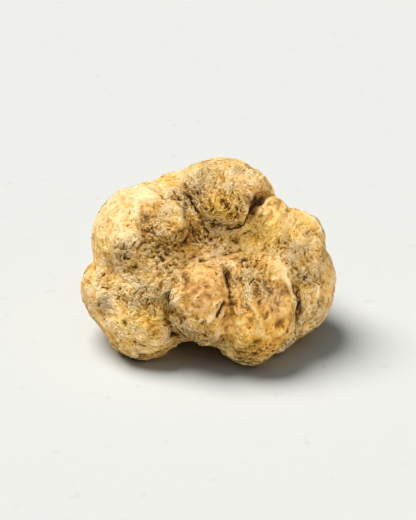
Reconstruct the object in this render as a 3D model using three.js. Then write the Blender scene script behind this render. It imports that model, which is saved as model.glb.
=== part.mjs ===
// A white truffle: the lobed fruiting body of an underground fungus, grown as one solid piece.
//
// The body is a smooth union of ellipsoidal lobes round a core, carved by furrows where the lobes
// press together. Its skin is found along rays from the heart, so the form is one closed surface.
// It lies on small flat spots under its lowest lobes.
//
// Millimetres, +X to the right, +Y to the back, +Z up. The origin is on the resting plane, under the
// middle of the bounding box.

import * as THREE from "three";
import { mergeVertices } from "three/addons/utils/BufferGeometryUtils.js";

const BLEND = 1.3; // how softly neighbouring lobes run into each other
const RESTING_PLANE = -21.6; // height of the flat resting spots, from the heart
const SKIN_DETAIL = 17; // each edge of the icosahedron is cut into one more piece than this
const FURROW_POINTS = 24; // along each furrow's curve
const SEARCH_RADIUS = 45; // every point of the skin is nearer the heart than this
const SEARCH_STEP = 0.6; // between the places tried along a ray
const SEARCH_HALVINGS = 14; // of the last step, once the skin lies within it

// Each lobe: its centre from the heart, and its half-sizes along X, Y and Z.
const LOBES = [
  { name: "core", at: [0, 1, -1], size: [24, 21, 17] },
  { name: "left shoulder", at: [-17.2, 0, 6.8], size: [14.4, 16, 14] },
  { name: "left cheek", at: [-24.6, -3.5, -7], size: [10.3, 12.5, 11] },
  { name: "left foot", at: [-16, -11.5, -11.2], size: [12.8, 12.6, 11.9] },
  { name: "left foot inner", at: [-11, -13, -13], size: [8, 8.5, 9.2] },
  { name: "left slope", at: [-12.5, -11, -2], size: [11.5, 10.5, 9.5] },
  { name: "inner ear", at: [-11.2, -5.6, 10.2], size: [11, 9.6, 9.4] },
  { name: "crown", at: [3, 5.5, 13.4], size: [13, 14, 13.5] },
  { name: "crown right", at: [9, 4, 12], size: [10.6, 12, 11.8] },
  { name: "crown tongue", at: [6.2, -4.2, 15], size: [8.2, 6.6, 6] },
  { name: "crown shoulder", at: [-8.6, 9, 13.8], size: [7.5, 8, 7.5] },
  { name: "front nose", at: [-1.8, -16.8, -5.8], size: [8.6, 10.8, 11] },
  { name: "right foot", at: [12, -15, -9.2], size: [12.3, 13, 13] },
  { name: "right foot inner", at: [9, -15, -8], size: [9, 12, 12.6] },
  { name: "right brow", at: [14, -9.5, 1], size: [11, 9.5, 9] },
  { name: "right cheek", at: [18.6, -1, -6.6], size: [16.3, 18, 16.2] },
  { name: "right shoulder", at: [22.2, -1, 3.8], size: [11.2, 12, 10.3] },
  { name: "right knob", at: [17.6, -1, 12.6], size: [5.4, 6, 5.2] },
  { name: "back left foot", at: [-12, 15, -7.5], size: [14, 12, 14.4] },
  { name: "back right", at: [11, 17, -3], size: [14, 11, 14] },
];

// Each furrow: a curve that lies near the skin, its half-width and its depth.
const FURROWS = [
  {
    name: "hollow",
    path: [[0, -12, 13], [4, -12.5, 12], [9, -12, 12]],
    width: 4.5,
    depth: 4.5,
  },
  {
    name: "fold under the crown",
    path: [
      [-6, -2, 20], [-3.5, -7.5, 17.5], [1, -11.5, 13.2], [7, -12, 13],
      [11.5, -9.5, 15.5], [14.5, -2, 19], [18, 3, 18],
    ],
    width: 2.2,
    depth: 2.6,
  },
  {
    name: "knob notch",
    path: [[21.6, 6, 15], [21.6, -1, 15], [20.8, -7, 11.5]],
    width: 2,
    depth: 1,
  },
  {
    name: "left valley",
    path: [[-3, -16, 11], [-12, -16.5, 9], [-16.5, -16, 6.5]],
    width: 3.4,
    depth: 2.2,
  },
  {
    name: "ear valley",
    path: [[-16.5, -8, 19], [-17, -12.5, 15.5], [-16, -15, 12]],
    width: 2.6,
    depth: 2.2,
  },
  {
    name: "front cleft",
    path: [[4, -16.5, 9.5], [6, -21, 3], [6.4, -24.5, -3], [5.2, -26.5, -9], [4.5, -25, -15]],
    width: 2.2,
    depth: 2.6,
  },
  {
    name: "left cleft",
    path: [[-10, -20, -1], [-9, -22, -6], [-6, -23.5, -13], [-3, -20, -18]],
    width: 1.9,
    depth: 1.8,
  },
  {
    name: "right cleft",
    path: [[22.5, -17, -1], [22.5, -20, -7], [20.5, -22, -13], [17, -19, -20]],
    width: 2.2,
    depth: 2.2,
  },
  {
    name: "arch between the feet",
    path: [[-6, -16, -21], [0, -8, -20], [4, 4, -20]],
    width: 7,
    depth: 4,
  },
  {
    name: "back cleft",
    path: [[-2, 19, 14], [-1, 26, 3], [-2, 25, -8], [0, 17, -20]],
    width: 3,
    depth: 3.4,
  },
  {
    name: "left side fold",
    path: [[-31, -4, 0], [-31, 6, 0.5], [-25, 15, 4]],
    width: 2.6,
    depth: 1.1,
  },
  {
    name: "right side fold",
    path: [[33, -3, 5], [30, 10, 5], [20, 20, 8]],
    width: 3,
    depth: 2.2,
  },
];

for (const furrow of FURROWS) {
  const curve = new THREE.CatmullRomCurve3(furrow.path.map((point) => new THREE.Vector3(...point)));
  furrow.points = curve.getSpacedPoints(FURROW_POINTS);
}

function ellipsoidDistance(point, lobe) {
  const [x, y, z] = lobe.at;
  const [a, b, c] = lobe.size;
  const reach = Math.hypot((point.x - x) / a, (point.y - y) / b, (point.z - z) / c);
  return (reach - 1) * Math.min(a, b, c);
}

function carving(point, furrow) {
  let nearest = Infinity;
  for (const along of furrow.points) nearest = Math.min(nearest, point.distanceToSquared(along));
  return furrow.depth * Math.exp(-nearest / furrow.width ** 2);
}

// Negative inside the truffle and positive outside.
function field(point) {
  let sum = 0;
  for (const lobe of LOBES) sum += Math.exp(-ellipsoidDistance(point, lobe) / BLEND);
  let value = -BLEND * Math.log(sum);
  for (const furrow of FURROWS) value += carving(point, furrow);
  return value;
}

// The furthest point of the skin from the heart in one direction.
function skinPoint(direction) {
  const point = new THREE.Vector3();
  const at = (radius) => point.copy(direction).multiplyScalar(radius);
  let outside = SEARCH_RADIUS;
  while (field(at(outside - SEARCH_STEP)) > 0) outside -= SEARCH_STEP;
  let inside = outside - SEARCH_STEP;
  for (let i = 0; i < SEARCH_HALVINGS; i++) {
    const middle = (inside + outside) / 2;
    if (field(at(middle)) > 0) outside = middle;
    else inside = middle;
  }
  at(inside);
  if (point.z < RESTING_PLANE) {
    at((inside * RESTING_PLANE) / point.z);
    point.z = RESTING_PLANE;
  }
  return point;
}

function truffleGeometry() {
  let geometry = new THREE.IcosahedronGeometry(1, SKIN_DETAIL);
  geometry.deleteAttribute("normal");
  geometry.deleteAttribute("uv");
  geometry = mergeVertices(geometry);
  const position = geometry.attributes.position;
  const direction = new THREE.Vector3();
  for (let i = 0; i < position.count; i++) {
    direction.fromBufferAttribute(position, i).normalize();
    position.setXYZ(i, ...skinPoint(direction));
  }
  geometry.computeBoundingBox();
  const middle = geometry.boundingBox.getCenter(new THREE.Vector3());
  geometry.translate(-middle.x, -middle.y, -RESTING_PLANE);
  return geometry;
}

const skin = new THREE.MeshStandardMaterial({ color: 0xd2a860, roughness: 0.75, metalness: 0 });
const truffle = new THREE.Mesh(truffleGeometry(), skin);
truffle.name = "truffle";

const part = new THREE.Group();
part.add(truffle);

export default part;
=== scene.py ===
"""A white truffle, lying on a pale surface in soft studio light.

The body starts as the smooth lobed solid of the frame. It is rounded off, its swellings, folds and clefts
are shaped, and creases and dents follow. Then the skin is given lumps, wrinkles that run with its fibres,
veins and pits. What the shaping leaves is kept on the mesh as attributes, and the skin's material takes
its colours from them: crevices, folds, slits and pits darken it with painted shade, and some of its
darker and paler patches are partly painted shade and painted light.
"""

import math
from collections import namedtuple

import bmesh
import bpy
import numpy as np
from bpy.props import FloatProperty, FloatVectorProperty, IntProperty, PointerProperty
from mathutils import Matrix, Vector
from mathutils.bvhtree import BVHTree


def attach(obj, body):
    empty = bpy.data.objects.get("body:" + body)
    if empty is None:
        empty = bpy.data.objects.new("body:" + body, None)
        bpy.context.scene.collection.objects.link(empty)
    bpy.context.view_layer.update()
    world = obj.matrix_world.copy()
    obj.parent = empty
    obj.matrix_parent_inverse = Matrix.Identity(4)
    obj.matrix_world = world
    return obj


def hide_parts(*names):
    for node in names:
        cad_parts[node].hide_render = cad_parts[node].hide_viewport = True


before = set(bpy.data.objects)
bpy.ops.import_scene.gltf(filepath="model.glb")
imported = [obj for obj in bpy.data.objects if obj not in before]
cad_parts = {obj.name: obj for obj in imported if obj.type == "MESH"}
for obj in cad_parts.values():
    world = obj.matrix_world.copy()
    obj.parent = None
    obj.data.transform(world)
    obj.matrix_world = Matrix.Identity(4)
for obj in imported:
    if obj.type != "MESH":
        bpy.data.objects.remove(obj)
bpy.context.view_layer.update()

bl_info = {
    "name": "White Truffle",
    "version": (1, 0, 0),
    "blender": (4, 5, 0),
    "location": "View3D > Sidebar > Truffle",
    "description": "Grows a lobed white truffle with a wrinkled, pitted skin, and sets its stage",
    "category": "Add Mesh",
}

NODE = "truffle"
PIECE = "truffle_skin"

MM = 0.001  # the shape below is worked out in millimetres
HEART = np.array([0.0, 0.0, 21.6])  # bearings are taken from this point inside the body

FLOOR_SIDE = 4.0  # metres
CAMERA_DISTANCE = 0.395  # from the heart, in metres
SENSOR = 36.0  # the width of the camera's sensor, in millimetres

# A bearing is a direction from the heart: degrees to the right of the front, then degrees up.
# Widths, depths, radii and moves are in millimetres. A negative depth raises a ridge, and a stroke with a
# lean is pushed that way instead of straight in.

Swell = namedtuple("Swell", "name at radius move")
Stroke = namedtuple("Stroke", "name along width depth lip lean", defaults=(0.0, None))
Dent = namedtuple("Dent", "name at radius depth rim", defaults=(0.0,))
Lamp = namedtuple("Lamp", "name place width colour collection")

# Where the skin is pushed out of its smooth form.
SWELLS = (
    Swell("crown tongue", (34, 56), 6.0, (0.0, -0.6, -0.3)),
    Swell("tongue's left side", (4, 67), 6.0, (-0.3, -1.0, 0.3)),
    Swell("crown's right flank", (100, 58), 6.0, (0.8, -1.6, 0.3)),
    Swell("ear", (-40, 45), 8.0, (0.8, -0.6, -0.2)),
    Swell("knob", (84, 47), 6.0, (-0.5, -0.8, 0.9)),
    Swell("shoulder's foot", (-47, 12), 5.5, (-0.5, -1.0, 0.3)),
    Swell("nose", (1, 6), 8.0, (0.0, -1.2, 0.3)),
    Swell("nose's left side", (-19, 0), 5.5, (-0.7, -1.0, 0.0)),
    Swell("nose's left side low", (-19, -21), 4.5, (-0.6, -0.9, 0.0)),
    Swell("right foot's edge", (48, -8), 5.5, (0.9, -0.8, 0.0)),
    Swell("right foot's edge low", (47, -24), 4.5, (0.7, -0.5, 0.0)),
)

# The deep folds and clefts where lobes press together.
FOLDS = (
    Stroke("fold under the tongue", [(10, 61), (21, 57), (35, 52), (47, 50), (53, 49), (59, 52)],
           0.9, 2.0, 0.3, (0, 0.9, 0.1)),
    Stroke("fold beside the tongue", [(53, 49), (59, 52), (66, 54), (77, 53), (86, 50)], 0.9, 1.6, 0.3),
    Stroke("slit by the ear", [(-84, 73), (-69, 75), (-34, 72), (-20, 68)], 0.6, 2.4, 0.5),
    Stroke("shoulder groove", [(-104, 50), (-93, 56), (-77, 60), (-77, 65), (-79, 68)], 1.3, 1.5, 0.2),
    Stroke("ear valley", [(-67, 54), (-62, 47), (-57, 41), (-52, 36), (-49, 33)], 2.4, 1.6, 0.3),
    Stroke("shoulder dent", [(-70, 39), (-64, 33), (-59, 28)], 1.8, 0.5, 0.1),
    Stroke("shoulder ridge", [(-70, 44), (-60, 38), (-54, 29)], 1.6, -0.8),
    Stroke("valley under the ear", [(-49, 23), (-43, 26), (-36, 29), (-25, 36), (-16, 43)], 1.4, 0.6, 0.1),
    Stroke("groove above the nose", [(-21, 21), (-13, 27)], 0.9, 0.6, 0.2),
    Stroke("front cleft", [(14, 18), (16, 13), (16, 9), (16, 4), (15, -3)], 0.8, 2.2, 0.2),
    Stroke("front cleft low", [(15, -3), (15, -8), (14, -14)], 1.8, 1.3, 0.1),
    Stroke("nose slit", [(10, -3), (7, -6), (5, -9)], 0.6, 1.8, 0.35),
    Stroke("left cleft", [(-24, 8), (-24, 3), (-25, -4), (-26, -8)], 0.8, 1.5, 0.3),
    Stroke("left cleft low", [(-26, -11), (-26, -15), (-23, -21), (-21, -29)], 1.0, 1.6, 0.2),
    Stroke("back cleft", [(176, 45), (-178, 28), (-176, 8), (-179, -14), (178, -30)], 1.0, 1.0, 0.3),
    Stroke("back branch", [(-178, 24), (-160, 14), (-146, 10)], 0.9, 0.9, 0.3),
    Stroke("side fold", [(-112, 2), (-128, 4), (-142, 12)], 1.0, 0.8, 0.3),
    Stroke("right side fold", [(100, 8), (114, 10), (130, 18)], 1.0, 0.9, 0.3),
    Stroke("foot and cheek cleft",
           [(54, -5), (53, -10), (52, -14), (51, -18), (50, -22), (50, -27), (46, -34)], 1.1, 2.0, 0.3),
)

# Finer hollows and raised lines in the skin.
CREASES = (
    Stroke("nose's left crest", [(-25, 15), (-19, 10), (-17, 5), (-17, 0), (-24, -11)], 0.7, -0.6),
    Stroke("nose's left edge", [(-24, -14), (-23, -20), (-20, -27)], 0.7, -0.5),
    Stroke("nose arc", [(-1, 7), (-5, 5), (-7, 1), (-7, -2)], 0.8, -0.4),
    Stroke("nose slit lip", [(9, 1), (4, -1), (3, -5), (2, -10)], 0.7, -0.5),
    Stroke("nose rim", [(-10, 26), (-5, 27), (4, 29), (15, 34), (24, 38)], 0.7, -0.6),
    Stroke("hollow's island", [(28, 45), (24, 41), (18, 37)], 1.8, -0.7),
    Stroke("foot ridge", [(26, 9), (23, 0), (24, -3), (26, -9), (27, -16)], 1.0, -0.8),
    Stroke("foot trough", [(36, 5), (38, -1), (37, -7)], 1.6, 0.5),
    Stroke("foot trough inner", [(20, 0), (20, -8), (21, -15)], 1.3, 0.4),
    Stroke("foot's brow", [(36, 11), (45, 12), (49, 12), (53, 16)], 1.6, -0.6),
    Stroke("right foot ridge", [(49, 10), (48, 6), (49, -3), (50, -14), (50, -18), (48, -26)], 0.8, -1.0),
    Stroke("ear slit lip", [(-84, 72), (-58, 73), (-31, 67)], 0.6, -0.4),
    Stroke("tongue lip", [(51, 59), (52, 55), (53, 52)], 0.7, -0.4),
    Stroke("knob arc", [(60, 46), (72, 49), (84, 47), (90, 42)], 0.7, -0.35),
    Stroke("knob arc outer", [(62, 42), (72, 45), (80, 42)], 0.7, -0.3),
    Stroke("left stripe", [(-55, -20), (-52, -24), (-49, -27)], 0.8, 0.35, 0.1),
    Stroke("cheek low stripe", [(63, -15), (60, -20), (57, -23)], 0.6, 0.4, 0.15),
    Stroke("cheek arc", [(70, 18), (68, 8), (66, -2), (62, -10)], 0.8, -0.3),
)

# Single hollows and pits.
DENTS = (
    Dent("left dent", (-52, 10), 1.2, 0.4),
    Dent("ear foot", (-25, 46), 2.0, 0.8),
    Dent("orange pit", (37, -12), 1.6, 0.8, 0.2),
    Dent("orange pit low", (44, -19), 1.0, 0.5, 0.1),
    Dent("foot pit", (28, -1), 0.6, 0.4),
    Dent("left foot pit", (-45, -15), 0.9, 0.5, 0.1),
    Dent("brown patch", (24, -19), 1.3, 0.5),
    Dent("low pit", (16, -30), 0.9, 0.6),
    Dent("cheek patch", (54, -12), 2.2, 0.5),
    Dent("cheek low pit", (57, -20), 0.9, 0.6, 0.1),
    Dent("hollow pit", (5, 49), 0.9, 0.7),
    Dent("hollow pit right", (38, 40), 1.0, 0.6),
    Dent("hollow pit back", (9, 60), 1.2, 0.7),
    Dent("pocket", (64, 60), 0.9, 0.5),
    Dent("pocket right", (80, 55), 1.7, 1.0),
    Dent("pocket low", (66, 54), 1.5, 1.0),
    Dent("groove pit", (-77, 62), 0.6, 0.5),
    Dent("groove pit inner", (-79, 67), 0.6, 0.5),
)

# Dark cracks and single pits, by their half width: each runs through its bearings.
# They trace the narrowest slits of the folds; their dark is partly soil and partly painted shade.
CRACKS = {
    0.55: ([(63, 57), (72, 55), (86, 52)],),
    0.50: ([(-69, 75), (-34, 72), (-20, 68)],),
    0.43: ([(4, 49), (6, 50)],),
    0.36: (
        [(10, -3), (7, -6), (5, -9)], [(15, 11), (16, 7), (16, 4)],
    ),
    0.32: (
        [(26, 8), (30, 10)], [(35, 52), (47, 50), (53, 49), (59, 52), (66, 54)], [(-40, -33), (-37, -32)],
        [(-93, 24), (-91, 31)], [(18, 29), (20, 29)], [(8, 60), (11, 60)], [(56, -21), (58, -20)],
        [(-77, 62), (-76, 63)],
    ),
    0.29: (
        [(33, -25), (36, -24)], [(-36, -7), (-35, -5)], [(-24, 4), (-25, -4)], [(24, 30), (26, 30)],
        [(16, 49), (19, 50)], [(-64, -3), (-62, -3)], [(28, -1), (29, 0)], [(55, -11), (54, -13)],
        [(-79, 67), (-78, 66)], [(150, 30), (154, 24)], [(-150, 10), (-146, 4)], [(178, 5), (-178, 12)],
    ),
    0.25: (
        [(16, 4), (15, -3)], [(-33, 4), (-32, 2)], [(-54, -6), (-52, -4)], [(30, 21), (34, 19)],
        [(-55, 16), (-54, 16)], [(-37, 41), (-36, 42)], [(52, -16), (53, -17)], [(57, -26), (58, -25)],
        [(63, 40), (65, 41)], [(60, 3), (61, 5)], [(-120, -10), (-118, -16)], [(118, -5), (122, -12)],
    ),
    0.22: (
        [(56, -2), (54, -7)], [(25, 62), (35, 64)], [(30, 60), (36, 62)], [(37, 55), (41, 56)],
        [(-40, -23), (-35, -26)], [(-44, -1), (-43, 1)], [(-27, -17), (-24, -21)],
        [(-57, 24), (-57, 20), (-58, 15)], [(-53, 27), (-54, 23), (-55, 19)], [(57, 42), (60, 41)],
        [(50, 42), (54, 42)], [(38, 20), (40, 19)], [(64, 0), (66, -2)],
    ),
}

# How the skin's fibres run: a bearing, then the lean of the fibres, in degrees clockwise from upwards.
GRAIN = (
    ((0, 80), 40), ((60, 75), 35), ((150, 70), 60), ((-90, 75), 50),
    ((10, 66), 5), ((28, 62), 25), ((45, 57), 30), ((70, 60), -20), ((110, 60), -40),
    ((-75, 58), 80), ((-45, 52), 85), ((-35, 46), 80), ((-22, 48), -45), ((-40, 36), 85),
    ((-78, 42), 50), ((-95, 30), 25), ((-85, 15), 8), ((-65, 28), 10), ((-56, 20), 15),
    ((-45, 18), 60), ((-35, 14), 60), ((-50, 2), 50), ((-38, -2), 35), ((-43, -8), 20),
    ((-70, -5), 10), ((-62, -20), -35), ((-45, -25), -65), ((-33, -28), 80),
    ((-26, 0), 5), ((-20, -6), 40), ((-10, 15), 80), ((3, 10), 90), ((3, -6), 0), ((-10, -18), -50),
    ((10, 30), 70), ((18, 40), 40), ((35, 30), 60), ((55, 38), 62), ((62, 25), 60), ((45, 20), 50),
    ((75, 45), 80), ((85, 30), -60), ((75, 15), -30), ((68, 5), -20), ((75, -5), 10), ((62, -15), 25),
    ((32, 5), -10), ((25, -8), -15), ((40, -10), -20), ((30, -25), -40), ((20, -28), 60),
    ((120, 20), 10), ((110, -15), 30), ((140, 40), -30), ((150, 0), 0), ((165, -25), 60),
    ((180, 30), 20), ((-170, 5), -15), ((-150, 40), 30), ((-145, -5), 10), ((-120, 20), -20),
    ((-115, -20), 40), ((-155, -30), 70), ((0, -60), 20), ((90, -60), 50), ((-90, -60), -30),
    ((180, -60), 80),
)

# Where each quality of the skin shows: a bearing, the radius round it, and how strongly.
# Some are partly painted shade and painted light, as noted at each.
PATCHES = {
    "gold": (
        ((-3, 10), 6, -0.6), ((58, 38), 5, 1), ((66, 33), 4, 1), ((48, 40), 4, 0.8), ((56, 28), 4, 0.6),
        ((40, 16), 4, 0.5), ((22, -6), 4, 0.6), ((30, -14), 6, 0.8), ((18, -22), 5, 0.8),
        ((38, -13), 3, 1), ((-33, -14), 5, 0.8), ((-28, -10), 2.5, 0.7), ((-45, -15), 2, 0.8),
        ((14, 66), 4.5, 0.8), ((25, 60), 4, 0.8), ((-28, 40), 4, 0.5), ((-12, 3), 4, 0.2),
        ((27, 44), 1.6, 0.8), ((-70, 20), 5, 0.4), ((-80, 0), 4, 0.5), ((150, 10), 9, 0.5),
        ((-130, -10), 10, 0.5), ((110, -30), 8, 0.6), ((-160, 45), 7, 0.4),
    ),
    # Partly the skin's paler patches, partly painted light that brightens shaded places.
    "cream": (
        ((-42, -12), 7, 0.9), ((9, 46), 5.5, 2.4), ((-54, 0), 6, 1.2), ((-36, 10), 5, 0.8),
        ((-80, 32), 10, 1), ((-70, 45), 7, 0.8), ((-75, 5), 7, 0.6), ((-88, 60), 7, 0.6),
        ((-30, 80), 7, 0.7), ((-50, -10), 3, 0.8), ((-38, -17), 2.5, 0.8), ((45, 12), 3.5, 1),
        ((-24, 13), 2, 0.9), ((-18, 3), 1.2, 0.8), ((-50, 52), 3, 0.7), ((49, -6), 1.6, 0.8),
        ((50, -18), 1.6, 0.8), ((24, 3), 2.2, 1), ((24, -4), 1.6, 1), ((26, -12), 1.6, 1),
        ((4, 29), 2.5, 0.6), ((0, -24), 3, 0.6), ((44, 77), 6, 0.5), ((58, 34), 7, 1.6),
        ((85, 25), 7, 0.3), ((170, 50), 9, 0.5), ((-165, -10), 9, 0.4),
    ),
    # Partly golden-brown skin, partly painted shade: on the ear's lower side, the ear valley, the nose, the
    # knob and the lower rims of the feet.
    "brown": (
        ((-62, 46), 1.7, 0.5), ((-57, 41), 1.7, 0.5), ((-50, 34), 2.2, 0.5), ((-3, 7), 7, 1.5),
        ((82, 46), 5, 1.9), ((-75, 38), 8, 0.5), ((34, -3), 7, 1.5), ((-55, -32), 6, 0.7),
        ((-35, -36), 5, 0.6), ((28, -34), 5, 0.6), ((88, -4), 6, 0.4), ((-82, -14), 5, 0.5),
        ((0, -30), 4, 0.5), ((95, 28), 5, 0.4), ((-28, 42), 5.5, 1.5), ((-22, 52), 3.5, 0.7),
        ((-36, 34), 4, 0.6), ((28, 56), 4.5, 0.1), ((14, 62), 4, 0.3), ((0, 70), 4, 0.4),
        ((50, 54), 3, 0.6), ((0, -14), 5, 0.7), ((8, 0), 2.5, 0.5), ((32, -8), 4, 0.6),
        ((36, -20), 5, 0.5), ((24, -22), 4, 0.5), ((58, 0), 4, 0.4), ((-50, 14), 3, 0.5),
        ((30, 22), 3.5, 0.6), ((-30, 24), 4, 0.3), ((140, -20), 9, 0.5), ((-110, 10), 8, 0.4),
        ((180, 15), 7, 0.5),
    ),
    # Dry soil in the folds; the broad patch on the nose is partly painted shade.
    "soil": (
        ((15, -6), 1.6, 0.5), ((14, -13), 1.6, 0.4), ((5, 50), 4, 0.7), ((17, 49), 2.6, 0.4),
        ((38, 40), 1.6, 0.9), ((64, 60), 1.4, 0.9), ((83, 56), 2.2, 1), ((66, 56), 2, 1),
        ((-25, 46), 2.4, 0.8), ((-52, 10), 1, 0.7), ((-57, 10), 1.6, 0.4), ((15, 12), 1.6, 0.7),
        ((14, 20), 2.4, 0.5), ((54, -12), 2.4, 0.7), ((-33, -2), 2.6, 0.5), ((34, 19), 2, 0.6),
        ((-31, -20), 2.5, 0.4), ((-12, 30), 3, 0.4), ((90, 73), 4, 0.3), ((-77, 63), 2.4, 1),
        ((-30, 76), 2.5, 0.8), ((25, 30), 2, 0.6), ((-3, 8), 6.5, 0.9), ((32, -4), 7, 0.3),
    ),
    "pitted": (
        ((60, 22), 5, 0.8), ((34, 19), 3.5, 1), ((-36, 0), 6.5, 0.9), ((57, 40), 3, 0.5),
        ((6, 48), 6.5, 1), ((10, 78), 8, 1), ((28, 62), 5, 0.8), ((54, -12), 3.5, 1), ((60, 5), 3, 0.7),
        ((-8, -22), 4.5, 0.9), ((-22, -16), 3.5, 0.7), ((22, -28), 5, 0.6), ((30, 6), 4, 0.8),
        ((-36, 30), 5, 0.8), ((-48, 40), 5, 0.7), ((-40, 18), 6, 0.7), ((-76, 66), 4.5, 0.8),
        ((-57, 20), 3, 0.8), ((-60, -8), 2.5, 0.8), ((78, 10), 7, 0.3), ((58, 30), 6, 0.5),
        ((170, 20), 6, 0.6), ((-140, 5), 6, 0.6), ((120, -5), 5, 0.5),
    ),
    "smooth": (
        ((33, -10), 7, 1.2), ((-80, 38), 9, 1), ((-90, 10), 6, 0.6), ((-50, -20), 6, 0.7),
        ((-3, 7), 6.5, 1), ((80, 40), 6, 0.8), ((80, -5), 7, 0.5), ((45, 14), 3.5, 0.7),
        ((-150, 42), 9, 0.8), ((145, -2), 9, 0.8), ((-130, -22), 9, 0.8), ((60, 80), 6, 0.5),
        ((150, 45), 8, 0.7), ((-160, -12), 6, 0.6),
    ),
    # Dull patches; the one on the nose is partly painted shade.
    "grey": (
        ((-60, -8), 2.4, 1), ((38, -2), 3, 0.8), ((88, 68), 4.5, 0.6), ((12, 24), 2.5, 0.4),
        ((64, 4), 4, 0.4), ((-100, 78), 3, 0.2), ((130, 40), 6, 0.5), ((26, -13), 1.2, 0.6),
        ((-3, 9), 6, 0.6), ((32, -3), 6, 0.45), ((-78, 38), 9, 0.6), ((82, 46), 5, 0.4),
    ),
    # Near-black marks in the dents; the last three, in the pocket beside the tongue, are partly its soil
    # and partly painted shade.
    "stain": (
        ((37, -12), 1.4, 0.5), ((-45, -15), 0.7, 0.9), ((24, -19), 1.3, 0.6), ((-52, 10), 0.7, 0.5),
        ((39, 40), 0.9, 0.6), ((62, 58), 1.3, 0.8), ((80, 55), 2, 0.75), ((68, 54), 1.8, 0.75),
    ),
}

TRUFFLE_LIGHT = "lit_by_"  # starts the name of each collection whose lamp lights only the truffle
FLOOR_LIGHT = "floor_light"  # the collection whose lamp lights only the floor

# Each lamp: the direction it shines from, how wide it looks in degrees, its colour, and the collection
# that it is kept to, if it doesn't light everything.
LAMPS = (
    Lamp("key", (-0.40, 0.20, 0.90), 40, (1.0, 1.0, 1.0), None),
    Lamp("fill", (-0.50, -0.62, 0.56), 25, (1.0, 0.96, 0.88), TRUFFLE_LIGHT + "fill"),
    Lamp("side", (0.75, -0.55, 0.35), 45, (1.0, 0.93, 0.83), TRUFFLE_LIGHT + "side"),
    Lamp("top", (0.10, -0.35, 0.93), 70, (1.0, 0.92, 0.82), TRUFFLE_LIGHT + "top"),
    Lamp("bounce", (0.15, -0.25, 0.95), 80, (0.44, 0.76, 1.0), FLOOR_LIGHT),
)


class TruffleShape(bpy.types.PropertyGroup):
    """The sizes of the skin's relief."""

    fold_cell: FloatProperty(name="Fold cell", description="Mesh size while the folds are carved",
                             default=0.55 * MM, unit="LENGTH", precision=5)
    skin_cell: FloatProperty(name="Skin cell", description="Mesh size of the finished skin",
                             default=0.44 * MM, unit="LENGTH", precision=5)
    lump_height: FloatProperty(name="Lump height", description="How far the broad lumps stand out",
                               default=0.50 * MM, unit="LENGTH", precision=5)
    wrinkle_height: FloatProperty(name="Wrinkle height", description="How high the wrinkles stand",
                                  default=0.25 * MM, unit="LENGTH", precision=5)
    pit_depth: FloatProperty(name="Pit depth", description="Depth of the pits in the skin",
                             default=0.34 * MM, unit="LENGTH", precision=5)
    sway: FloatProperty(name="Sway", description="How far the fibres wander from their common run",
                        default=1.5)
    seed: IntProperty(name="Seed", description="Chooses the pattern of lumps, wrinkles and pits", default=7)


class TruffleColours(bpy.types.PropertyGroup):
    """The colours of the skin and of what clings to it."""

    # The lightest tone: the skin's paler crests, and partly painted light where the relief stands up.
    crest: FloatVectorProperty(name="Crest", description="Raised, rubbed skin", subtype="COLOR",
                               default=(0.64, 0.492, 0.275), min=0, max=1)
    skin: FloatVectorProperty(name="Skin", description="Most of the skin", subtype="COLOR",
                              default=(0.56, 0.328, 0.081), min=0, max=1)
    shade: FloatVectorProperty(name="Shade", description="Skin between wrinkles", subtype="COLOR",
                               default=(0.29, 0.146, 0.032), min=0, max=1)
    # The darkest tone: where the painted shade of crevices, folds and cracks ends, and the colour of the
    # stains.
    pit: FloatVectorProperty(name="Pit", description="The bottom of pits and cracks", subtype="COLOR",
                             default=(0.055, 0.025, 0.008), min=0, max=1)
    gold: FloatVectorProperty(name="Gold", description="Tint of the deeper yellow patches", subtype="COLOR",
                              default=(1.0, 0.87, 0.38), min=0, max=1)
    grey: FloatVectorProperty(name="Grey", description="The dull, scarred patches", subtype="COLOR",
                              default=(0.50, 0.385, 0.235), min=0, max=1)
    soil: FloatVectorProperty(name="Soil", description="Tint of dry soil in the folds", subtype="COLOR",
                              default=(0.80, 0.70, 0.58), min=0, max=1)


class TruffleStage(bpy.types.PropertyGroup):
    """The floor, the light and the camera."""

    floor_colour: FloatVectorProperty(name="Floor", description="The pale surface", subtype="COLOR",
                                      default=(0.605, 0.588, 0.548), min=0, max=1)
    key: FloatProperty(name="Key light", description="Strength of the main light", default=4.6)
    fill: FloatProperty(name="Fill light", description="Strength of the light on the front", default=1.8)
    side: FloatProperty(name="Side light", description="Strength of the light on the right", default=2.6)
    top: FloatProperty(name="Top light", description="Strength of the soft light from above", default=1.0)
    bounce: FloatProperty(name="Bounce", description="Strength of the cool floor light", default=0.55)
    sky: FloatProperty(name="Sky light", description="Strength of the light from all round", default=0.05)
    backdrop: FloatProperty(name="Backdrop", description="How bright the space behind the floor looks",
                            default=0.85)
    lens: FloatProperty(name="Lens", description="Focal length in millimetres", default=100.0)
    tilt: FloatProperty(name="Tilt", description="How far the camera looks down", subtype="ANGLE",
                        default=math.radians(25))


# ---- Working on the skin as arrays of points ----

def bearing_direction(bearing):
    """The unit vector of a bearing."""
    right, rise = (math.radians(angle) for angle in bearing)
    return np.array([math.sin(right) * math.cos(rise), -math.cos(right) * math.cos(rise), math.sin(rise)])


def grain_direction(bearing, lean):
    """The direction, along a round body's skin, that leans this far clockwise from upwards."""
    right, rise = (math.radians(angle) for angle in bearing)
    up = np.array([-math.sin(right) * math.sin(rise), math.cos(right) * math.sin(rise), math.cos(rise)])
    across = np.array([math.cos(right), math.sin(right), 0.0])
    return math.cos(math.radians(lean)) * up + math.sin(math.radians(lean)) * across


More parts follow.
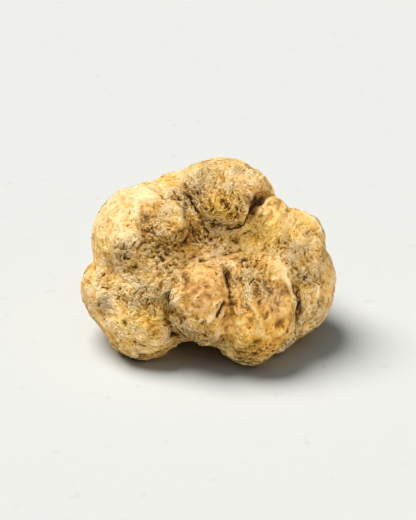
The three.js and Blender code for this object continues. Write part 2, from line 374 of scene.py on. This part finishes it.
RAY_GAP = 0.01  # how far past one crossing of the skin the search for the next one starts
LINE_STEP = 0.35  # between the points of a stroke's line
STROKE_REACH = 4.0  # in widths: further than this from its line, a stroke does nothing
STROKE_END = 0.35  # the share of its depth that a stroke has at its two ends
STROKE_TAPER = 4.0  # how fast it gains the rest along its length
GROOVE_SHAPE = 1.6  # higher makes a groove's bottom flatter and its sides steeper
LIP_PLACE, LIP_SPREAD = 1.9, 0.5  # in widths from a stroke's line
DENT_REACH = 3.0  # in radii: further than this from its middle, a dent does nothing
RIM_PLACE, RIM_SPREAD = 1.5, 0.2  # in radii from a dent's middle
GRAIN_MIXING = 2.0  # higher lets the fibres' directions run into each other sooner


class Skin:
    """The points, edges and normals of a mesh, in millimetres, and the ways of working them."""

    def __init__(self, mesh):
        self.points = read(mesh.vertices, "co", 3).astype(np.float64) / MM
        self.edges = read(mesh.edges, "vertices", 2, np.int32)
        self.normals = read(mesh.vertex_normals, "vector", 3).astype(np.float64)
        faces = [tuple(face.vertices) for face in mesh.polygons]
        self.tree = BVHTree.FromPolygons(self.points.tolist(), faces)

    def on_skin(self, bearing):
        """Where a bearing leaves the body for the last time."""
        direction = Vector(bearing_direction(bearing))
        found = None
        hit = self.tree.ray_cast(Vector(HEART), direction)[0]
        while hit is not None:
            found = hit
            hit = self.tree.ray_cast(found + direction * RAY_GAP, direction)[0]
        if found is None:
            raise RuntimeError(f"no skin on bearing {bearing}")
        return np.array(found)

    def route(self, bearings):
        """Points along the skin through bearings, and how far along it each is, from 0 to 1."""
        corners = np.array([self.on_skin(bearing) for bearing in bearings])
        spans = np.linalg.norm(np.diff(corners, axis=0), axis=1)
        along = np.concatenate([[0.0], np.cumsum(spans)])
        places = np.linspace(0.0, along[-1], max(2, math.ceil(along[-1] / LINE_STEP) + 1))
        line = np.stack([np.interp(places, along, corners[:, axis]) for axis in range(3)], axis=1)
        line = np.array([self.tree.find_nearest(Vector(point))[0] for point in line])
        return line, places / along[-1]

    def near(self, centres, reach):
        """The indices of the points within reach of the box round some centres."""
        low, high = centres.min(axis=0) - reach, centres.max(axis=0) + reach
        return np.flatnonzero(((self.points > low) & (self.points < high)).all(axis=1))

    def swell(self, swell):
        """Moves the skin round a bearing, fading to nothing at the radius."""
        centre = self.on_skin(swell.at)
        picked = self.near(centre[None], swell.radius)
        reach = np.linalg.norm(self.points[picked] - centre, axis=1) / swell.radius
        share = np.clip(1.0 - reach**2, 0.0, None) ** 2
        self.points[picked] += share[:, None] * np.array(swell.move)

    def carve(self, stroke):
        """Sinks a groove along a stroke, deepest at its line, with a lip along each side."""
        line, along = self.route(stroke.along)
        picked = self.near(line, STROKE_REACH * stroke.width)
        gaps = np.linalg.norm(self.points[picked][:, None] - line[None], axis=2)
        nearest = gaps.argmin(axis=1)
        reach = gaps.min(axis=1) / stroke.width
        ends = np.clip(STROKE_TAPER * np.minimum(along, 1.0 - along) + STROKE_END, 0.0, 1.0)[nearest]
        groove = np.exp(-(reach**GROOVE_SHAPE))
        lip = stroke.lip * np.exp(-((reach - LIP_PLACE) ** 2) / LIP_SPREAD)
        inward = -self.normals[picked]
        if stroke.lean is not None:
            inward = np.array(stroke.lean) / np.linalg.norm(stroke.lean)
        self.points[picked] += (ends * stroke.depth * groove)[:, None] * inward
        self.points[picked] += (ends * lip)[:, None] * self.normals[picked]

    def dent(self, dent):
        """Presses a dent in at a bearing, with a low rim."""
        centre = self.on_skin(dent.at)
        picked = self.near(centre[None], DENT_REACH * dent.radius)
        reach = np.linalg.norm(self.points[picked] - centre, axis=1) / dent.radius
        rim = dent.rim * np.exp(-((reach - RIM_PLACE) ** 2) / RIM_SPREAD)
        depth = dent.depth * np.exp(-(reach**3)) - rim
        self.points[picked] -= depth[:, None] * self.normals[picked]

    def smoothed(self, values, rounds):
        """Values averaged with their neighbours' along the edges, as many rounds as asked."""
        first, second = self.edges.T
        size = len(values)
        values = values.reshape(size, -1)
        count = (np.bincount(first, minlength=size) + np.bincount(second, minlength=size))[:, None]
        for _ in range(rounds):
            sums = [np.bincount(first, column[second], size) + np.bincount(second, column[first], size)
                    for column in values.T]
            values = 0.5 * values + 0.5 * np.stack(sums, axis=1) / count
        return values

    def hollowness(self, rounds):
        """How far each point lies under its smoothed surroundings: above 0 in hollows, below on crests."""
        return ((self.smoothed(self.points, rounds) - self.points) * self.normals).sum(axis=1)

    def quality(self, name):
        """How much of a quality each point has: about 1 in its patches, below 0 where it is kept away."""
        left = np.ones(len(self.points))
        for bearing, radius, strength in PATCHES[name]:
            reach = np.linalg.norm(self.points - self.on_skin(bearing), axis=1) / radius
            left *= 1.0 - strength * np.exp(-(reach**2))
        return 1.0 - left

    def grain(self):
        """The direction of the skin's fibres at each point."""
        tensor = np.zeros((len(self.points), 3, 3))
        for bearing, lean in GRAIN:
            away = np.linalg.norm(self.points - self.on_skin(bearing), axis=1)
            direction = grain_direction(bearing, lean)
            tensor += (1.0 / (away**3 + GRAIN_MIXING))[:, None, None] * np.outer(direction, direction)
        flat = np.eye(3) - self.normals[:, :, None] * self.normals[:, None, :]
        tensor = flat @ tensor @ flat
        return np.linalg.eigh(tensor)[1][:, :, 2]

    def flattened(self, vectors):
        """Vectors laid along the skin, with length 1."""
        vectors = vectors - self.normals * (vectors * self.normals).sum(axis=1)[:, None]
        return vectors / np.linalg.norm(vectors, axis=1)[:, None]


def read(collection, name, width, kind=np.float32):
    """A mesh collection's values as the rows of an array."""
    values = np.zeros(len(collection) * width, kind)
    collection.foreach_get(name, values)
    return values.reshape(-1, width)


# ---- Noise over space, in cells of size 1 ----

WAVE_GAIN = 1.6  # brings the smooth noise to about -1 to 1
STREAK_SAMPLES = 7  # laid along the grain and added up, for noise drawn out along it
PIT_MARGIN = 0.15  # the share of its cell, at each side, that a pit's middle stays out of
SMALLEST_PIT, PIT_RANGE = 0.5, 0.8  # a pit's size, as a share of the usual one
TABLE_SIZE = 4096  # a power of two
TABLE_SEED = 11
SCRAMBLERS = (73856093, 19349663, 83492791)  # large primes, one for each axis
SEED_SCRAMBLER = 2654435
LAST_SCRAMBLER = 1274126177


def scrambled(cells, seed):
    """A place in the tables for each whole-number cell, the same on every run."""
    mixed = seed * SEED_SCRAMBLER
    for axis, scrambler in enumerate(SCRAMBLERS):
        mixed = mixed ^ cells[..., axis] * scrambler
    mixed = (mixed ^ (mixed >> 13)) * LAST_SCRAMBLER
    return (mixed ^ (mixed >> 16)) & (TABLE_SIZE - 1)


def tables(seed):
    """Seeded directions, places and numbers that the noise draws from."""
    draw = np.random.default_rng(seed)
    directions = draw.normal(size=(TABLE_SIZE, 3))
    directions /= np.linalg.norm(directions, axis=1)[:, None]
    return directions, draw.random((TABLE_SIZE, 3)), draw.random(TABLE_SIZE)


DIRECTIONS, PLACES, NUMBERS = tables(TABLE_SEED)


def waves(points, seed):
    """Smooth noise from about -1 to 1."""
    cells = np.floor(points).astype(np.int64)
    inside = points - cells
    fade = inside**3 * (inside * (inside * 6.0 - 15.0) + 10.0)
    total = np.zeros(len(points))
    for corner in np.ndindex(2, 2, 2):
        corner = np.array(corner)
        slope = DIRECTIONS[scrambled(cells + corner, seed)]
        share = np.where(corner, fade, 1.0 - fade).prod(axis=1)
        total += share * (slope * (inside - corner)).sum(axis=1)
    return WAVE_GAIN * total


def drift(points, seed):
    """Smooth noise along each of the three axes."""
    return np.stack([waves(points, seed + axis) for axis in range(3)], axis=1)


def streaks(points, grain, length, seed):
    """Noise drawn out along the grain, from about -1 to 1."""
    shifts = np.linspace(-0.5, 0.5, STREAK_SAMPLES) * length
    total = sum(waves(points + shift * grain, seed) for shift in shifts)
    return total / math.sqrt(STREAK_SAMPLES)


def pits(points, grain, stretch, chance, size, seed):
    """The depth, from 0 to 1, of pits scattered one to a cell, each stretched along the grain."""
    cells = np.floor(points).astype(np.int64)
    depth = np.zeros(len(points))
    for corner in np.ndindex(3, 3, 3):
        cell = cells + np.array(corner) - 1
        key = scrambled(cell, seed)
        away = points - (cell + PIT_MARGIN + (1.0 - 2.0 * PIT_MARGIN) * PLACES[key])
        along = (away * grain).sum(axis=1)
        gap = np.sqrt((away**2).sum(axis=1) - (1.0 - 1.0 / stretch**2) * along**2)
        radius = size * (SMALLEST_PIT + PIT_RANGE * PLACES[key][:, 0])
        there = NUMBERS[key] < chance
        depth = np.maximum(depth, there * np.exp(-((gap / radius) ** 3)))
    return depth


# ---- The truffle ----

MERGE_GAP = 0.01  # points of the CAD solid nearer than this are one
ROUNDING = 2  # how many times its facets are subdivided


def merged_copy(node):
    """A new object with a CAD node's mesh, its loose triangles joined."""
    bm = bmesh.new()
    bm.from_mesh(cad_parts[node].data)
    bmesh.ops.remove_doubles(bm, verts=bm.verts, dist=MERGE_GAP * MM)
    bmesh.ops.recalc_face_normals(bm, faces=bm.faces)
    mesh = bpy.data.meshes.new(PIECE)
    bm.to_mesh(mesh)
    bm.free()
    piece = bpy.data.objects.new(PIECE, mesh)
    bpy.context.scene.collection.objects.link(piece)
    return piece


def bake_modifiers(piece):
    """Makes a piece's modifiers part of its mesh."""
    made = bpy.data.meshes.new_from_object(piece.evaluated_get(bpy.context.evaluated_depsgraph_get()))
    piece.modifiers.clear()
    old = piece.data
    piece.data = made
    bpy.data.meshes.remove(old)
    made.name = PIECE


def remesh(piece, cell):
    """Covers a piece with an even mesh of this cell size."""
    modifier = piece.modifiers.new("Even mesh", "REMESH")
    modifier.mode = "VOXEL"
    modifier.voxel_size = cell
    modifier.use_smooth_shade = True
    bake_modifiers(piece)


def round_off(piece):
    """Rounds the facets of the CAD solid away."""
    modifier = piece.modifiers.new("Round off", "SUBSURF")
    modifier.levels = modifier.render_levels = ROUNDING
    bake_modifiers(piece)


def work(piece, moves):
    """Reads a piece's skin, lets moves change its points, and writes them back."""
    skin = Skin(piece.data)
    moves(skin)
    write_points(piece, skin.points)


def write_points(piece, points):
    """Puts points, in millimetres, back into a piece's mesh, with none under the resting plane."""
    points[:, 2] = np.maximum(points[:, 2], 0.0)
    piece.data.vertices.foreach_set("co", (points * MM).astype(np.float32).ravel())
    piece.data.update()


def store(mesh, name, values):
    """Keeps numbers or vectors on a mesh's points, for its material."""
    vector = values.ndim == 2
    layer = mesh.attributes.new(name, "FLOAT_VECTOR" if vector else "FLOAT", "POINT")
    layer.data.foreach_set("vector" if vector else "value", values.astype(np.float32).ravel())


def carve_folds(skin):
    """The large forms: swellings, then the folds between lobes."""
    for swell in SWELLS:
        skin.swell(swell)
    for stroke in FOLDS:
        skin.carve(stroke)


def carve_details(skin):
    """The creases, raised lines and single dents."""
    for stroke in CREASES:
        skin.carve(stroke)
    for dent in DENTS:
        skin.dent(dent)


# Sizes are in millimetres, and each noise has a seed of its own, counted from the shape's seed.
# The broad lumps come in layers: the size of each, and its share of their height.
LUMPS = ((7, 0.9), (4, 0.8), (2.2, 0.55), (1.3, 0.38))
SWAY_SIZE = 2.2  # of the wandering of the fibres
WARP_SIZE, WARP = 2.5, 0.5  # of the bends in the wrinkles, and how far they go
ROUGH_SIZE = 4.0  # of the changes between rough and smooth skin
WRINKLE_SIZE, WRINKLE_LENGTH = 1.05, 1.8
RIDGE_SIZE, RIDGE_LENGTH = 1.9, 1.4
VEIN_SIZE, VEIN_PATCH_SIZE = 3.1, 6.0
FINE_PIT_CELL, LARGE_PIT_CELL = 1.3, 4.2
FOLD_ROUNDS, CREVICE_ROUNDS = 60, 6  # of smoothing, to find the broad hollows and the narrow ones
SMOOTHEST, ROUGHEST = 0.05, 1.0
FULLY_ROUGH = 0.8  # the roughness at which the material's patterns are at their strongest


def roughness(skin, pitted, seed):
    """How rough the skin is at each point: pitted patches the most, smooth ones the least."""
    rough = 0.20 + 0.80 * pitted - 0.5 * skin.quality("smooth")
    return np.clip(rough + 0.35 * waves(skin.points / ROUGH_SIZE, seed + 9), SMOOTHEST, ROUGHEST)


def veins(points, bent, seed):
    """Raised veins, which show only here and there."""
    lines = np.clip(1.0 - 3.2 * np.abs(waves(bent / VEIN_SIZE, seed + 10)), 0.0, None) ** 2
    return lines * np.clip(0.3 + 1.5 * waves(points / VEIN_PATCH_SIZE, seed + 11), 0.0, 1.0)


def add_relief(piece, shape):
    """Raises the lumps and wrinkles and sinks the pits, and stores what the material needs, with the
    hollows it darkens as painted shade.
    """
    skin = Skin(piece.data)
    seed = shape.seed
    grain = skin.flattened(skin.grain() + shape.sway * drift(skin.points / SWAY_SIZE, seed + 20))
    pitted = skin.quality("pitted")
    soil = skin.quality("soil")
    # How far each point lies in a broad hollow: the material darkens the skin by it, as painted shade.
    fold = skin.hollowness(FOLD_ROUNDS)
    rough = roughness(skin, pitted, seed)

    lumps = sum(share * waves(skin.points / size, seed + round(size)) for size, share in LUMPS)
    bent = skin.points + WARP * drift(skin.points / WARP_SIZE, seed)
    wrinkles = streaks(bent / WRINKLE_SIZE, grain, WRINKLE_LENGTH, seed + 5)
    ridges = 1.0 - 2.0 * np.abs(streaks(bent / RIDGE_SIZE, grain, RIDGE_LENGTH, seed + 6))
    raised = rough * (0.85 * wrinkles + 0.35 * ridges) + 0.9 * veins(skin.points, bent, seed)
    fine_pits = pits(skin.points / FINE_PIT_CELL, grain, stretch=2.0, chance=0.04 + 0.70 * rough,
                     size=0.22, seed=seed + 7)
    large_pits = pits(skin.points / LARGE_PIT_CELL, grain, stretch=1.5, chance=0.06 + 0.12 * pitted,
                      size=0.12, seed=seed + 8)

    soil_cover = 1.0 - 0.2 * soil  # soil fills the lowest of the relief
    relief = shape.wrinkle_height / MM * soil_cover * raised
    relief -= shape.pit_depth / MM * (0.75 * fine_pits + 1.2 * large_pits)
    height = relief + shape.lump_height / MM * lumps
    skin.points += height[:, None] * skin.normals
    write_points(piece, skin.points)

    mesh = piece.data
    # How far each point lies in a narrow crevice: the material darkens the skin by it, as painted shade.
    crevice = Skin(mesh).hollowness(CREVICE_ROUNDS)
    patches = {name: skin.quality(name) for name in ("gold", "cream", "brown", "grey", "stain")}
    kept = {"grain": grain, "relief": relief, "crevice": crevice, "fold": fold,
            **patches, "soil": soil, "rough": rough}
    for name, values in kept.items():
        store(mesh, name, values)


def crack_lines(piece):
    """The cracks as straight lines: where each starts and ends on the skin, and its half width."""
    skin = Skin(piece.data)
    lines = []
    for width, cracks in CRACKS.items():
        for bearings in cracks:
            places = [skin.on_skin(bearing) for bearing in bearings]
            lines += [(start, end, width) for start, end in zip(places, places[1:])]
    return lines


def grow_truffle(shape, colours):
    """The truffle's body, from the CAD solid to the finished skin."""
    piece = merged_copy(NODE)
    round_off(piece)
    remesh(piece, shape.fold_cell)
    work(piece, carve_folds)
    remesh(piece, shape.skin_cell)
    work(piece, carve_details)
    add_relief(piece, shape)
    piece.data.polygons.foreach_set("use_smooth", [True] * len(piece.data.polygons))
    piece.data.materials.clear()
    piece.data.materials.append(skin_material(colours, crack_lines(piece)))
    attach(piece, "root")
    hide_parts(NODE)
    for collection in bpy.data.collections:
        if collection.name.startswith(TRUFFLE_LIGHT):
            collection.objects.link(piece)


# ---- Materials ----

STREAK_CONTRAST = 0.65  # how far the sum of the samples strays from its middle
CRACK_SHAKE = 0.7  # the width of the band that a crack's line wanders in, in millimetres
BUMP_HEIGHT = 1.35  # of the fibres and specks that the mesh is too coarse for, in millimetres


class Nodes:
    """A short way to lay and join a material's nodes."""

    def __init__(self, name):
        self.material = bpy.data.materials.new(name)
        self.material.use_nodes = True
        self.tree = self.material.node_tree
        self.shader = self.tree.nodes["Principled BSDF"]

    def put(self, socket, value):
        """Sets a socket, or joins it to another node's socket."""
        if isinstance(value, bpy.types.NodeSocket):
            self.tree.links.new(value, socket)
        else:
            socket.default_value = value

    def add(self, kind, inputs=(), out=0, **settings):
        """A node with its inputs, by number or name, and its output socket."""
        node = self.tree.nodes.new(kind)
        for name, value in settings.items():
            setattr(node, name, value)
        for key, value in dict(inputs).items():
            self.put(node.inputs[key], value)
        return node.outputs[out]

    def attribute(self, name, out="Fac"):
        """A mesh attribute."""
        return self.add("ShaderNodeAttribute", attribute_name=name, out=out)

    def math(self, operation, first, second=0.0, third=0.0):
        """Arithmetic on two or three numbers."""
        return self.add("ShaderNodeMath", {0: first, 1: second, 2: third}, operation=operation)

    def spread(self, value, low, high, to_low=0.0, to_high=1.0):
        """A value's range from low to high, as a range from to_low to to_high."""
        inputs = {"Value": value, "From Min": low, "From Max": high, "To Min": to_low, "To Max": to_high}
        return self.add("ShaderNodeMapRange", inputs)

    def mix(self, share, first, second, blend="MIX"):
        """Two colours mixed."""
        inputs = {0: share, 6: first, 7: second}
        return self.add("ShaderNodeMix", inputs, out=2, data_type="RGBA", blend_type=blend,
                        clamp_factor=True)

    def ramp(self, value, stops):
        """A colour picked by a value, from colours at their places along a ramp."""
        node = self.tree.nodes.new("ShaderNodeValToRGB")
        elements = node.color_ramp.elements
        while len(elements) < len(stops):
            elements.new(0.5)
        for element, (position, colour) in zip(elements, stops):
            element.position = position
            element.color = rgba(colour)
        self.put(node.inputs[0], value)
        return node.outputs[0]

    def vector(self, operation, inputs, out=0):
        """Arithmetic on vectors."""
        return self.add("ShaderNodeVectorMath", inputs, out, operation=operation)

    def distance(self, place, start, end):
        """How far a place is from the straight line between two points."""
        span = end - start
        away = self.vector("SUBTRACT", {0: place, 1: tuple(start)})
        part = self.vector("DOT_PRODUCT", {0: away, 1: tuple(span / (span @ span))}, "Value")
        part = self.add("ShaderNodeClamp", {"Value": part})
        foot = self.vector("SCALE", {0: tuple(span), "Scale": part})
        return self.vector("DISTANCE", {0: away, 1: foot}, "Value")

    def along_grain(self, place, grain, scale, reach):
        """Noise of this scale drawn out along the grain, from about 0 to 1."""
        steps = STREAK_SAMPLES // 2
        total = 0.0
        for step in range(-steps, steps + 1):
            shift = (reach * step / steps,) * 3
            moved = self.vector("MULTIPLY_ADD", {0: grain, 1: shift, 2: place})
            total = self.math("ADD", self.noise(moved, scale, 1.5), total)
        middle = STREAK_SAMPLES / 2
        return self.spread(total, middle - STREAK_CONTRAST, middle + STREAK_CONTRAST)

    def noise(self, place, scale, detail=3.0, roughness=0.55):
        """Noise with this many cells to each unit of the place."""
        inputs = {"Vector": place, "Scale": scale, "Detail": detail, "Roughness": roughness}
        return self.add("ShaderNodeTexNoise", inputs)


def rgba(colour):
    """A colour property as a socket's value."""
    return (*colour, 1.0)


Pattern = namedtuple("Pattern", "rough threads strands dash blotch mottle speck pin_pit crack")


def by_roughness(nodes, rough, smoothest, roughest):
    """A value that goes from one number on smooth skin to another on rough skin."""
    return nodes.spread(rough, SMOOTHEST, FULLY_ROUGH, smoothest, roughest)


def crack_pattern(nodes, place, cracks):
    """The cracks, from 0 beside them to 1 inside."""
    shaken = nodes.add("ShaderNodeTexNoise", {"Vector": place, "Scale": 1.1, "Detail": 1.0}, "Color")
    shaken = nodes.vector("MULTIPLY_ADD", {0: shaken, 1: (CRACK_SHAKE,) * 3, 2: place})
    shaken = nodes.vector("SUBTRACT", {0: shaken, 1: (CRACK_SHAKE / 2,) * 3})
    inside = 0.0
    for start, end, width in cracks:
        crack = nodes.spread(nodes.distance(shaken, start, end), width, 0.4 * width)
        inside = nodes.math("MAXIMUM", crack, inside)
    return inside


def skin_pattern(nodes, place, cracks):
    """The fibres, blotches, pin-sized pits and cracks of the skin, each from 0 to 1."""
    rough = nodes.attribute("rough")
    grain = nodes.attribute("grain", "Vector")
    # Fine and coarse fibres, and the darkest of the fine ones as dashes.
    threads = nodes.along_grain(place, grain, 1.6, 0.9)
    strands = nodes.along_grain(place, grain, 0.62, 1.6)
    dash = nodes.math("MULTIPLY", nodes.spread(threads, 0.36, 0.18), by_roughness(nodes, rough, 0.1, 1.0))
    # Stains that run into each other, from broad to fine.
    blotch = nodes.spread(nodes.noise(place, 0.25, 2.0, 0.5), 0.35, 0.65)
    mottle = nodes.spread(nodes.noise(place, 0.65, 1.0, 0.5), 0.35, 0.65)
    speck = nodes.spread(nodes.noise(place, 1.3, 2.0, 0.65), 0.3, 0.7)
    # One pin-sized pit to a cell, where a broader noise lets it be.
    cells = nodes.add("ShaderNodeTexVoronoi", {"Vector": place, "Scale": 1.15}, "Distance")
    chance = nodes.math("ADD", nodes.noise(place, 0.7, 1.0), nodes.math("MULTIPLY", rough, 0.12))
    pin_pit = nodes.math("MULTIPLY", nodes.spread(cells, 0.27, 0.12), nodes.spread(chance, 0.52, 0.60))
    crack = crack_pattern(nodes, place, cracks)
    return Pattern(rough, threads, strands, dash, blotch, mottle, speck, pin_pit, crack)


def skin_tone(nodes, pattern):
    """How light the skin is, from 0 in the pits to 1 on the crests, with painted shade in its hollows and
    slits.
    """
    coarse = by_roughness(nodes, pattern.rough, 0.25, 1.1)
    parts = (  # each with its middle value, and how much it lightens the skin
        # Lighter where the relief stands and darker where it sinks: partly the skin's paler crests, partly
        # painted light and painted shade.
        (nodes.spread(nodes.attribute("relief"), -0.30, 0.22), 0.58, 0.32),
        (pattern.threads, 0.5, nodes.math("MULTIPLY", coarse, 0.14)),
        (pattern.strands, 0.5, 0.25),
        (pattern.blotch, 0.5, 0.30),
        (pattern.mottle, 0.5, nodes.math("MULTIPLY", coarse, 0.22)),
        (pattern.speck, 0.5, nodes.math("MULTIPLY", coarse, 0.26)),
        (pattern.dash, 0.1, -0.44),
        (pattern.pin_pit, 0.0, -0.52),
        # The cracks: partly soil, partly painted shade in the slits.
        (pattern.crack, 0.0, -0.80),
        # Painted shade in the narrow crevices.
        (nodes.attribute("crevice"), 0.0, -2.0),
        # Painted shade in the broad hollows.
        (nodes.attribute("fold"), 0.0, -0.14),
        # Paler skin, partly painted light.
        (nodes.attribute("cream"), 0.0, 0.15),
        # Browner skin, partly painted shade.
        (nodes.attribute("brown"), 0.0, -0.24),
    )
    tone = 0.65
    for value, middle, weight in parts:
        tone = nodes.math("MULTIPLY_ADD", nodes.math("SUBTRACT", value, middle), weight, tone)
    return tone


def skin_colour(nodes, place, pattern, tone, colours):
    """The colour of the skin's tone, tinted by the gold, grey and soiled patches, and darkened by the
    stains, partly painted shade.
    """
    colour = nodes.ramp(tone, (
        (0.0, colours.pit), (0.30, colours.shade), (0.60, colours.skin), (0.95, colours.crest)))
    golden = nodes.spread(nodes.noise(place, 0.28, 1.0), 0.54, 0.70, 0.0, 0.4)
    gold = nodes.math("MULTIPLY_ADD", nodes.attribute("gold"), 0.9, golden)
    colour = nodes.mix(gold, colour, rgba(colours.gold), "MULTIPLY")
    grey = nodes.math("MULTIPLY", nodes.attribute("grey"), nodes.spread(tone, 0.30, 0.75, 0.2, 0.7))
    colour = nodes.mix(grey, colour, rgba(colours.grey))
    colour = nodes.mix(nodes.attribute("soil"), colour, rgba(colours.soil), "MULTIPLY")
    # The stains darken towards the pit colour; in the pocket this is partly painted shade.
    uneven = nodes.spread(pattern.speck, 0.1, 0.9, 1.0, 0.5)
    stain = nodes.math("MULTIPLY", nodes.attribute("stain"), uneven)
    return nodes.mix(stain, colour, rgba(colours.pit))


def skin_bump(nodes, pattern):
    """The finest fibres, specks, pits and cracks, as a bump."""
    height = nodes.math("MULTIPLY", pattern.threads, 0.45)
    height = nodes.math("MULTIPLY_ADD", pattern.strands, 0.55, height)
    height = nodes.math("MULTIPLY_ADD", pattern.speck, 0.8, height)
    height = nodes.math("MULTIPLY_ADD", pattern.mottle, 0.5, height)
    height = nodes.math("MULTIPLY", height, by_roughness(nodes, pattern.rough, 0.16, 1.10))
    height = nodes.math("MULTIPLY_ADD", pattern.pin_pit, -0.6, height)
    height = nodes.math("MULTIPLY_ADD", pattern.crack, -0.9, height)
    return nodes.add("ShaderNodeBump", {"Strength": 1.0, "Distance": BUMP_HEIGHT * MM, "Height": height})


def skin_material(colours, cracks):
    """The truffle's skin: its fibres, specks, pits and cracks give its colour, gloss and bump."""
    nodes = Nodes("truffle_skin")
    metres = nodes.add("ShaderNodeTexCoord", out="Object")
    place = nodes.vector("SCALE", {0: metres, "Scale": 1.0 / MM})
    pattern = skin_pattern(nodes, place, cracks)
    tone = skin_tone(nodes, pattern)
    shader = nodes.shader.inputs
    nodes.put(shader["Base Color"], skin_colour(nodes, place, pattern, tone, colours))
    nodes.put(shader["Roughness"], nodes.spread(tone, 0.2, 1.0, 0.9, 0.66))
    nodes.put(shader["Specular IOR Level"], 0.25)
    nodes.put(shader["Specular Tint"], (1.0, 0.82, 0.55, 1.0))
    nodes.put(shader["Normal"], skin_bump(nodes, pattern))
    return nodes.material


def floor_material(colour):
    """Matt, pale paper with faint flecks."""
    nodes = Nodes("pale_paper")
    metres = nodes.add("ShaderNodeTexCoord", out="Object")
    fleck = nodes.spread(nodes.noise(metres, 180.0, 2.0), 0.66, 0.74)
    dark = tuple(0.93 * channel for channel in colour)
    shader = nodes.shader.inputs
    nodes.put(shader["Base Color"], nodes.mix(fleck, rgba(colour), rgba(dark)))
    nodes.put(shader["Roughness"], 0.95)
    nodes.put(shader["Specular IOR Level"], 0.1)
    return nodes.material


# ---- The stage ----

def aimed(name, data, place, at):
    """A lamp or camera at a place, looking at a point."""
    thing = bpy.data.objects.new(name, data)
    bpy.context.scene.collection.objects.link(thing)
    thing.location = place
    thing.rotation_mode = "QUATERNION"
    thing.rotation_quaternion = (at - place).to_track_quat("-Z", "Y")
    return thing


def lay_floor(stage):
    """A wide pale floor in the resting plane."""
    bm = bmesh.new()
    bmesh.ops.create_grid(bm, x_segments=1, y_segments=1, size=FLOOR_SIDE / 2)
    mesh = bpy.data.meshes.new("floor")
    bm.to_mesh(mesh)
    bm.free()
    mesh.materials.append(floor_material(stage.floor_colour))
    floor = bpy.data.objects.new("floor", mesh)
    bpy.context.scene.collection.objects.link(floor)
    return floor


def light_only(lamp, name):
    """Makes a lamp light only the things in a new collection of this name."""
    lit = bpy.data.collections.new(name)
    bpy.context.scene.collection.children.link(lit)
    lamp.light_linking.receiver_collection = lit


def hang_lights(stage, floor):
    """A soft key light from the upper left, and weaker lights for the truffle alone or the floor alone."""
    for lamp in LAMPS:
        light = bpy.data.lights.new(lamp.name, "SUN")
        light.energy = getattr(stage, lamp.name)
        light.angle = math.radians(lamp.width)
        light.color = lamp.colour
        hung = aimed(lamp.name, light, Vector(lamp.place), Vector((0, 0, 0)))
        if lamp.collection:
            light_only(hung, lamp.collection)
    bpy.data.collections[FLOOR_LIGHT].objects.link(floor)


def light_world(stage):
    """Dim light from all round, from a space that looks pale to the camera."""
    world = bpy.data.worlds.new("studio")
    bpy.context.scene.world = world
    world.use_nodes = True
    tree = world.node_tree
    background = tree.nodes["Background"]
    background.inputs["Color"].default_value = (1.0, 0.985, 0.96, 1.0)
    path = tree.nodes.new("ShaderNodeLightPath")
    strength = tree.nodes.new("ShaderNodeMapRange")
    strength.inputs["To Min"].default_value = stage.sky
    strength.inputs["To Max"].default_value = stage.backdrop
    tree.links.new(path.outputs["Is Camera Ray"], strength.inputs["Value"])
    tree.links.new(strength.outputs[0], background.inputs["Strength"])


def place_camera(stage):
    """The camera, looking down at the truffle's front."""
    camera = bpy.data.cameras.new("camera")
    camera.lens = stage.lens
    camera.sensor_width = SENSOR
    back = Vector((0.0, -math.cos(stage.tilt), math.sin(stage.tilt)))
    middle = Vector(HEART) * MM
    bpy.context.scene.camera = aimed("camera", camera, middle + back * CAMERA_DISTANCE, middle)


class TRUFFLE_OT_grow(bpy.types.Operator):
    """Grow the truffle's body and its skin"""

    bl_idname = "truffle.grow"
    bl_label = "Truffle"

    def execute(self, context):
        grow_truffle(context.scene.truffle_shape, context.scene.truffle_colours)
        return {"FINISHED"}


class TRUFFLE_OT_stage(bpy.types.Operator):
    """Lay the floor, hang the lights and place the camera"""

    bl_idname = "truffle.stage"
    bl_label = "Stage"

    def execute(self, context):
        stage = context.scene.truffle_stage
        hang_lights(stage, lay_floor(stage))
        light_world(stage)
        place_camera(stage)
        context.scene.view_settings.view_transform = "Standard"
        return {"FINISHED"}


class TRUFFLE_PT_panel(bpy.types.Panel):
    """Lists the truffle's operators and properties"""

    bl_idname = "TRUFFLE_PT_panel"
    bl_label = "White Truffle"
    bl_space_type = "VIEW_3D"
    bl_region_type = "UI"
    bl_category = "Truffle"

    def draw(self, context):
        for operator in OPERATORS:
            self.layout.operator(operator.bl_idname)
        for name, group in GROUPS.items():
            box = self.layout.box()
            for field in group.__annotations__:
                box.prop(getattr(context.scene, name), field)


GROUPS = {"truffle_shape": TruffleShape, "truffle_colours": TruffleColours, "truffle_stage": TruffleStage}
OPERATORS = (TRUFFLE_OT_stage, TRUFFLE_OT_grow)
CLASSES = (*GROUPS.values(), *OPERATORS, TRUFFLE_PT_panel)


def register():
    for each in CLASSES:
        bpy.utils.register_class(each)
    for name, group in GROUPS.items():
        setattr(bpy.types.Scene, name, PointerProperty(type=group))


def unregister():
    for name in GROUPS:
        delattr(bpy.types.Scene, name)
    for each in reversed(CLASSES):
        bpy.utils.unregister_class(each)


def main():
    """Registers the add-on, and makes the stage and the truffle."""
    register()
    bpy.ops.truffle.stage()
    bpy.ops.truffle.grow()


if __name__ == "__main__":
    main()
